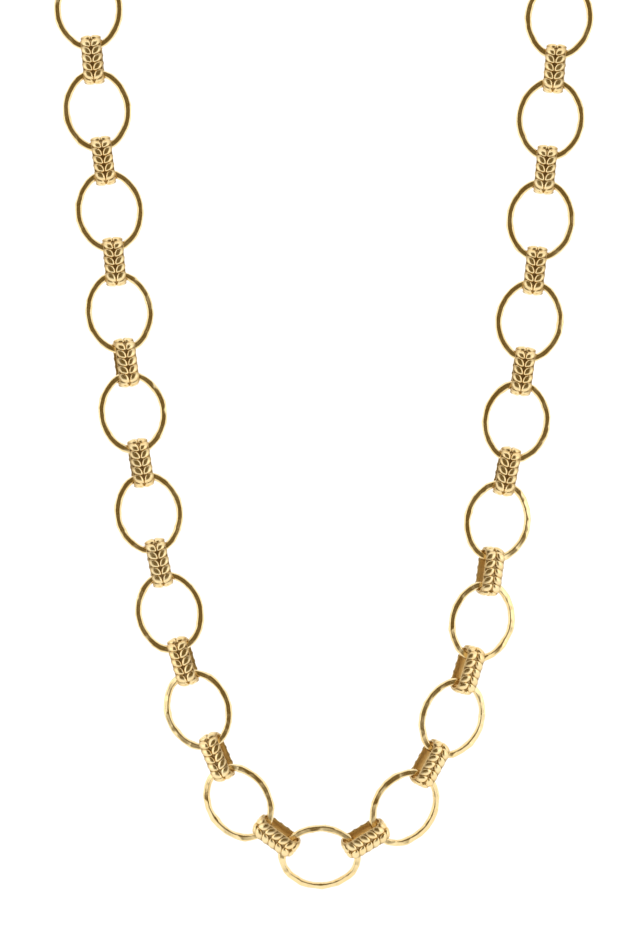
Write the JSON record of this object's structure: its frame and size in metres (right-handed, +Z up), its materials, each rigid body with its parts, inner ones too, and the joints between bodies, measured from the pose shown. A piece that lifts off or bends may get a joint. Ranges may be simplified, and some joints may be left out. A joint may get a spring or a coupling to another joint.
{
  "type": "chain necklace",
  "caption": "Chain necklace of hammered oval rings joined by leaf-patterned band loops, laid flat in a U with its lobster clasp open.",
  "frame": {"origin": "middle of the bounding box, on the surface that the necklace lies on", "axes": "+Z up out of the surface, +Y from the centre link towards the open clasp ends, +X towards the arm that carries the clasp"},
  "size_m": [0.1394, 0.2888, 0.0089],
  "materials": {
    "hammered_gold": "pale yellow gold plate, polished over light hammer dents",
    "leaf_gold": "pale yellow gold plate, cast leaf relief with darker hollows",
    "clasp_gold": "pale yellow gold plate, polished",
    "spring_steel": "plain bright spring wire and pin"
  },
  "bodies": {
    "oval_link_centre": {"oval_link_centre": "hammered_gold"},
    "leaf_band_right_1": {"leaf_band_right_1": "leaf_gold"},
    "oval_link_right_1": {"oval_link_right_1": "hammered_gold"},
    "leaf_band_right_2": {"leaf_band_right_2": "leaf_gold"},
    "oval_link_right_2": {"oval_link_right_2": "hammered_gold"},
    "leaf_band_right_3": {"leaf_band_right_3": "leaf_gold"},
    "oval_link_right_3": {"oval_link_right_3": "hammered_gold"},
    "leaf_band_right_4": {"leaf_band_right_4": "leaf_gold"},
    "oval_link_right_4": {"oval_link_right_4": "hammered_gold"},
    "leaf_band_right_5": {"leaf_band_right_5": "leaf_gold"},
    "oval_link_right_5": {"oval_link_right_5": "hammered_gold"},
    "leaf_band_right_6": {"leaf_band_right_6": "leaf_gold"},
    "oval_link_right_6": {"oval_link_right_6": "hammered_gold"},
    "leaf_band_right_7": {"leaf_band_right_7": "leaf_gold"},
    "oval_link_right_7": {"oval_link_right_7": "hammered_gold"},
    "leaf_band_right_8": {"leaf_band_right_8": "leaf_gold"},
    "oval_link_right_8": {"oval_link_right_8": "hammered_gold"},
    "leaf_band_right_9": {"leaf_band_right_9": "leaf_gold"},
    "oval_link_right_9": {"oval_link_right_9": "hammered_gold"},
    "leaf_band_right_10": {"leaf_band_right_10": "leaf_gold"},
    "oval_link_right_10": {"oval_link_right_10": "hammered_gold"},
    "leaf_band_right_11": {"leaf_band_right_11": "leaf_gold"},
    "oval_link_right_11": {"oval_link_right_11": "hammered_gold"},
    "leaf_band_left_1": {"leaf_band_left_1": "leaf_gold"},
    "oval_link_left_1": {"oval_link_left_1": "hammered_gold"},
    "leaf_band_left_2": {"leaf_band_left_2": "leaf_gold"},
    "oval_link_left_2": {"oval_link_left_2": "hammered_gold"},
    "leaf_band_left_3": {"leaf_band_left_3": "leaf_gold"},
    "oval_link_left_3": {"oval_link_left_3": "hammered_gold"},
    "leaf_band_left_4": {"leaf_band_left_4": "leaf_gold"},
    "oval_link_left_4": {"oval_link_left_4": "hammered_gold"},
    "leaf_band_left_5": {"leaf_band_left_5": "leaf_gold"},
    "oval_link_left_5": {"oval_link_left_5": "hammered_gold"},
    "leaf_band_left_6": {"leaf_band_left_6": "leaf_gold"},
    "oval_link_left_6": {"oval_link_left_6": "hammered_gold"},
    "leaf_band_left_7": {"leaf_band_left_7": "leaf_gold"},
    "oval_link_left_7": {"oval_link_left_7": "hammered_gold"},
    "leaf_band_left_8": {"leaf_band_left_8": "leaf_gold"},
    "oval_link_left_8": {"oval_link_left_8": "hammered_gold"},
    "leaf_band_left_9": {"leaf_band_left_9": "leaf_gold"},
    "oval_link_left_9": {"oval_link_left_9": "hammered_gold"},
    "leaf_band_left_10": {"leaf_band_left_10": "leaf_gold"},
    "oval_link_left_10": {"oval_link_left_10": "hammered_gold"},
    "leaf_band_left_11": {"leaf_band_left_11": "leaf_gold"},
    "oval_link_left_11": {"oval_link_left_11": "hammered_gold"},
    "jump_ring_right": {"jump_ring_right": "clasp_gold"},
    "jump_ring_left": {"jump_ring_left": "clasp_gold"},
    "catch_ring": {"catch_ring": "clasp_gold"},
    "clasp": {"clasp_body": "clasp_gold", "clasp_pin": "spring_steel", "clasp_spring": "spring_steel"},
    "clasp_lever": {"clasp_lever": "clasp_gold"}
  },
  "joints": [
    {"name": "band_swing_right_1", "type": "hinge", "parent": "oval_link_centre", "child": "leaf_band_right_1", "pos_m": [0.00744, -0.13311, 0.0049], "axis": [-0.5093, 0.8273, 0.2372], "range_deg": [-100, 100]},
    {"name": "link_turn_right_1", "type": "hinge", "parent": "leaf_band_right_1", "child": "oval_link_right_1", "pos_m": [0.01822, -0.1266, 0.00405], "axis": [-0.2482, 0.1546, -0.9563], "range_deg": [-20, 20]},
    {"name": "band_swing_right_2", "type": "hinge", "parent": "oval_link_right_1", "child": "leaf_band_right_2", "pos_m": [0.02439, -0.11608, 0.00415], "axis": [0.8395, -0.4583, -0.2919], "range_deg": [-100, 100]},
    {"name": "link_turn_right_2", "type": "hinge", "parent": "leaf_band_right_2", "child": "oval_link_right_2", "pos_m": [0.03044, -0.10498, 0.00387], "axis": [0.2749, -0.0996, 0.9563], "range_deg": [-20, 20]},
    {"name": "band_swing_right_3", "type": "hinge", "parent": "oval_link_right_2", "child": "leaf_band_right_3", "pos_m": [0.03432, -0.09341, 0.00396], "axis": [0.9145, -0.2802, -0.292], "range_deg": [-100, 100]},
    {"name": "link_turn_right_3", "type": "hinge", "parent": "leaf_band_right_3", "child": "oval_link_right_3", "pos_m": [0.03803, -0.08132, 0.00385], "axis": [-0.2679, 0.0647, -0.9613], "range_deg": [-20, 20]},
    {"name": "band_swing_right_4", "type": "hinge", "parent": "oval_link_right_3", "child": "leaf_band_right_4", "pos_m": [0.04029, -0.06935, 0.00403], "axis": [-0.9535, 0.1248, 0.2742], "range_deg": [-100, 100]},
    {"name": "link_turn_right_4", "type": "hinge", "parent": "leaf_band_right_4", "child": "oval_link_right_4", "pos_m": [0.04198, -0.05682, 0.00408], "axis": [0.1878, -0.034, 0.9816], "range_deg": [-20, 20]},
    {"name": "band_swing_right_5", "type": "hinge", "parent": "oval_link_right_4", "child": "leaf_band_right_5", "pos_m": [0.04425, -0.04483, 0.00406], "axis": [-0.9631, 0.19, 0.1908], "range_deg": [-100, 100]},
    {"name": "link_turn_right_5", "type": "hinge", "parent": "leaf_band_right_5", "child": "oval_link_right_5", "pos_m": [0.0467, -0.03242, 0.00406], "axis": [-0.0173, 0.0025, -0.9998], "range_deg": [-20, 20]},
    {"name": "band_swing_right_6", "type": "hinge", "parent": "oval_link_right_5", "child": "leaf_band_right_6", "pos_m": [0.04836, -0.02033, 0.00406], "axis": [0.9913, -0.1306, -0.0175], "range_deg": [-100, 100]},
    {"name": "link_turn_right_6", "type": "hinge", "parent": "leaf_band_right_6", "child": "oval_link_right_6", "pos_m": [0.05002, -0.00779, 0.00406], "axis": [0, 0, 1], "range_deg": [-20, 20]},
    {"name": "band_swing_right_7", "type": "hinge", "parent": "oval_link_right_6", "child": "leaf_band_right_7", "pos_m": [0.05142, 0.00433, 0.00406], "axis": [0.9938, -0.1108, 0], "range_deg": [-100, 100]},
    {"name": "link_turn_right_7", "type": "hinge", "parent": "leaf_band_right_7", "child": "oval_link_right_7", "pos_m": [0.05282, 0.0169, 0.00406], "axis": [0.0347, -0.0036, -0.9994], "range_deg": [-20, 20]},
    {"name": "band_swing_right_8", "type": "hinge", "parent": "oval_link_right_7", "child": "leaf_band_right_8", "pos_m": [0.05404, 0.02904, 0.00406], "axis": [-0.9948, 0.0961, -0.0349], "range_deg": [-100, 100]},
    {"name": "link_turn_right_8", "type": "hinge", "parent": "leaf_band_right_8", "child": "oval_link_right_8", "pos_m": [0.05525, 0.04163, 0.00406], "axis": [-0.0521, 0.0047, 0.9986], "range_deg": [-20, 20]},
    {"name": "band_swing_right_9", "type": "hinge", "parent": "oval_link_right_8", "child": "leaf_band_right_9", "pos_m": [0.05632, 0.05378, 0.00406], "axis": [-0.995, 0.0848, -0.0523], "range_deg": [-100, 100]},
    {"name": "link_turn_right_9", "type": "hinge", "parent": "leaf_band_right_9", "child": "oval_link_right_9", "pos_m": [0.05739, 0.06639, 0.00406], "axis": [0.0522, -0.0042, -0.9986], "range_deg": [-20, 20]},
    {"name": "band_swing_right_10", "type": "hinge", "parent": "oval_link_right_9", "child": "leaf_band_right_10", "pos_m": [0.05834, 0.07855, 0.00406], "axis": [0.9957, -0.0759, 0.0523], "range_deg": [-100, 100]},
    {"name": "link_turn_right_10", "type": "hinge", "parent": "leaf_band_right_10", "child": "oval_link_right_10", "pos_m": [0.05931, 0.09116, 0.00406], "axis": [-0.0348, 0.0025, 0.9994], "range_deg": [-20, 20]},
    {"name": "band_swing_right_11", "type": "hinge", "parent": "oval_link_right_10", "child": "leaf_band_right_11", "pos_m": [0.06017, 0.10333, 0.00406], "axis": [0.997, -0.0688, 0.0349], "range_deg": [-100, 100]},
    {"name": "link_turn_right_11", "type": "hinge", "parent": "leaf_band_right_11", "child": "oval_link_right_11", "pos_m": [0.06104, 0.11595, 0.00406], "axis": [0, 0, -1], "range_deg": [-20, 20]},
    {"name": "band_swing_left_1", "type": "hinge", "parent": "oval_link_centre", "child": "leaf_band_left_1", "pos_m": [-0.009, -0.13267, 0.00503], "axis": [0.5824, 0.7814, 0.2241], "range_deg": [-100, 100]},
    {"name": "link_turn_left_1", "type": "hinge", "parent": "leaf_band_left_1", "child": "oval_link_left_1", "pos_m": [-0.01923, -0.12526, 0.00447], "axis": [0.2031, 0.1315, -0.9703], "range_deg": [-20, 20]},
    {"name": "band_swing_left_2", "type": "hinge", "parent": "oval_link_left_1", "child": "leaf_band_left_2", "pos_m": [-0.0249, -0.11452, 0.00474], "axis": [-0.8975, -0.3712, -0.2381], "range_deg": [-100, 100]},
    {"name": "link_turn_left_2", "type": "hinge", "parent": "leaf_band_left_2", "child": "oval_link_left_2", "pos_m": [-0.02979, -0.10286, 0.00469], "axis": [-0.1471, -0.0533, 0.9877], "range_deg": [-20, 20]},
    {"name": "band_swing_left_3", "type": "hinge", "parent": "oval_link_left_2", "child": "leaf_band_left_3", "pos_m": [-0.03356, -0.09126, 0.00476], "axis": [-0.9489, -0.2741, -0.1561], "range_deg": [-100, 100]},
    {"name": "link_turn_left_3", "type": "hinge", "parent": "leaf_band_left_3", "child": "oval_link_left_3", "pos_m": [-0.03708, -0.07911, 0.00475], "axis": [0.017, 0.0041, -0.9998], "range_deg": [-20, 20]},
    {"name": "band_swing_left_4", "type": "hinge", "parent": "oval_link_left_3", "child": "leaf_band_left_4", "pos_m": [-0.03974, -0.0672, 0.00475], "axis": [0.9791, 0.2026, 0.0174], "range_deg": [-100, 100]},
    {"name": "link_turn_left_4", "type": "hinge", "parent": "leaf_band_left_4", "child": "oval_link_left_4", "pos_m": [-0.0423, -0.05482, 0.00477], "axis": [0.0858, 0.0155, 0.9962], "range_deg": [-20, 20]},
    {"name": "band_swing_left_5", "type": "hinge", "parent": "oval_link_left_4", "child": "leaf_band_left_5", "pos_m": [-0.04436, -0.04279, 0.00476], "axis": [0.9835, 0.1582, -0.0871], "range_deg": [-100, 100]},
    {"name": "link_turn_left_5", "type": "hinge", "parent": "leaf_band_left_5", "child": "oval_link_left_5", "pos_m": [-0.04637, -0.0303, 0.00477], "axis": [-0.1377, -0.02, -0.9903], "range_deg": [-20, 20]},
    {"name": "band_swing_left_6", "type": "hinge", "parent": "oval_link_left_5", "child": "leaf_band_left_6", "pos_m": [-0.04804, -0.01822, 0.00476], "axis": [-0.9818, -0.1292, 0.1392], "range_deg": [-100, 100]},
    {"name": "link_turn_left_6", "type": "hinge", "parent": "leaf_band_left_6", "child": "oval_link_left_6", "pos_m": [-0.04969, -0.00568, 0.00477], "axis": [0.121, 0.0146, 0.9925], "range_deg": [-20, 20]},
    {"name": "band_swing_left_7", "type": "hinge", "parent": "oval_link_left_6", "child": "leaf_band_left_7", "pos_m": [-0.05098, 0.00645, 0.00475], "axis": [-0.9882, -0.0925, 0.1218], "range_deg": [-100, 100]},
    {"name": "link_turn_left_7", "type": "hinge", "parent": "leaf_band_left_7", "child": "oval_link_left_7", "pos_m": [-0.05217, 0.01905, 0.00474], "axis": [-0.0521, -0.0054, -0.9986], "range_deg": [-20, 20]},
    {"name": "band_swing_left_8", "type": "hinge", "parent": "oval_link_left_7", "child": "leaf_band_left_8", "pos_m": [-0.0536, 0.03116, 0.00475], "axis": [0.99, 0.1307, -0.0523], "range_deg": [-100, 100]},
    {"name": "link_turn_left_8", "type": "hinge", "parent": "leaf_band_left_8", "child": "oval_link_left_8", "pos_m": [-0.05525, 0.04371, 0.00476], "axis": [0.0348, 0.0031, 0.9994], "range_deg": [-20, 20]},
    {"name": "band_swing_left_9", "type": "hinge", "parent": "oval_link_left_8", "child": "leaf_band_left_9", "pos_m": [-0.05632, 0.05586, 0.00476], "axis": [0.9958, 0.0849, -0.0349], "range_deg": [-100, 100]},
    {"name": "link_turn_left_9", "type": "hinge", "parent": "leaf_band_left_9", "child": "oval_link_left_9", "pos_m": [-0.05739, 0.06846, 0.00476], "axis": [0, 0, -1], "range_deg": [-20, 20]},
    {"name": "band_swing_left_10", "type": "hinge", "parent": "oval_link_left_9", "child": "leaf_band_left_10", "pos_m": [-0.05834, 0.08063, 0.00476], "axis": [-0.9971, -0.076, 0], "range_deg": [-100, 100]},
    {"name": "link_turn_left_10", "type": "hinge", "parent": "leaf_band_left_10", "child": "oval_link_left_10", "pos_m": [-0.05931, 0.09324, 0.00476], "axis": [0, 0, 1], "range_deg": [-20, 20]},
    {"name": "band_swing_left_11", "type": "hinge", "parent": "oval_link_left_10", "child": "leaf_band_left_11", "pos_m": [-0.06017, 0.10541, 0.00476], "axis": [-0.9976, -0.0688, 0], "range_deg": [-100, 100]},
    {"name": "link_turn_left_11", "type": "hinge", "parent": "leaf_band_left_11", "child": "oval_link_left_11", "pos_m": [-0.06104, 0.11803, 0.00476], "axis": [0, 0, -1], "range_deg": [-20, 20]},
    {"name": "jump_swing_right", "type": "hinge", "parent": "oval_link_right_11", "child": "jump_ring_right", "pos_m": [0.06184, 0.12813, 0.00406], "axis": [-0.9978, 0.0657, 0], "range_deg": [-90, 90]},
    {"name": "jump_swing_left", "type": "hinge", "parent": "oval_link_left_11", "child": "jump_ring_left", "pos_m": [-0.06184, 0.1302, 0.00476], "axis": [0.9978, 0.0657, 0], "range_deg": [-90, 90]},
    {"name": "clasp_turn", "type": "hinge", "parent": "jump_ring_right", "child": "clasp", "pos_m": [0.06209, 0.1319, 0.00406], "axis": [0, 0, 1], "range_deg": [-40, 40]},
    {"name": "gate_hinge", "type": "hinge", "parent": "clasp", "child": "clasp_lever", "pos_m": [0.06178, 0.13643, 0.00406], "axis": [0, 0, -1], "range_deg": [0, 30], "stiffness_Nm_per_rad": 0.004, "springref_deg": -22.92},
    {"name": "catch_swing", "type": "hinge", "parent": "jump_ring_left", "child": "catch_ring", "pos_m": [-0.06198, 0.13233, 0.00476], "axis": [-0.9978, -0.0657, 0], "range_deg": [-80, 80]}
  ]
}
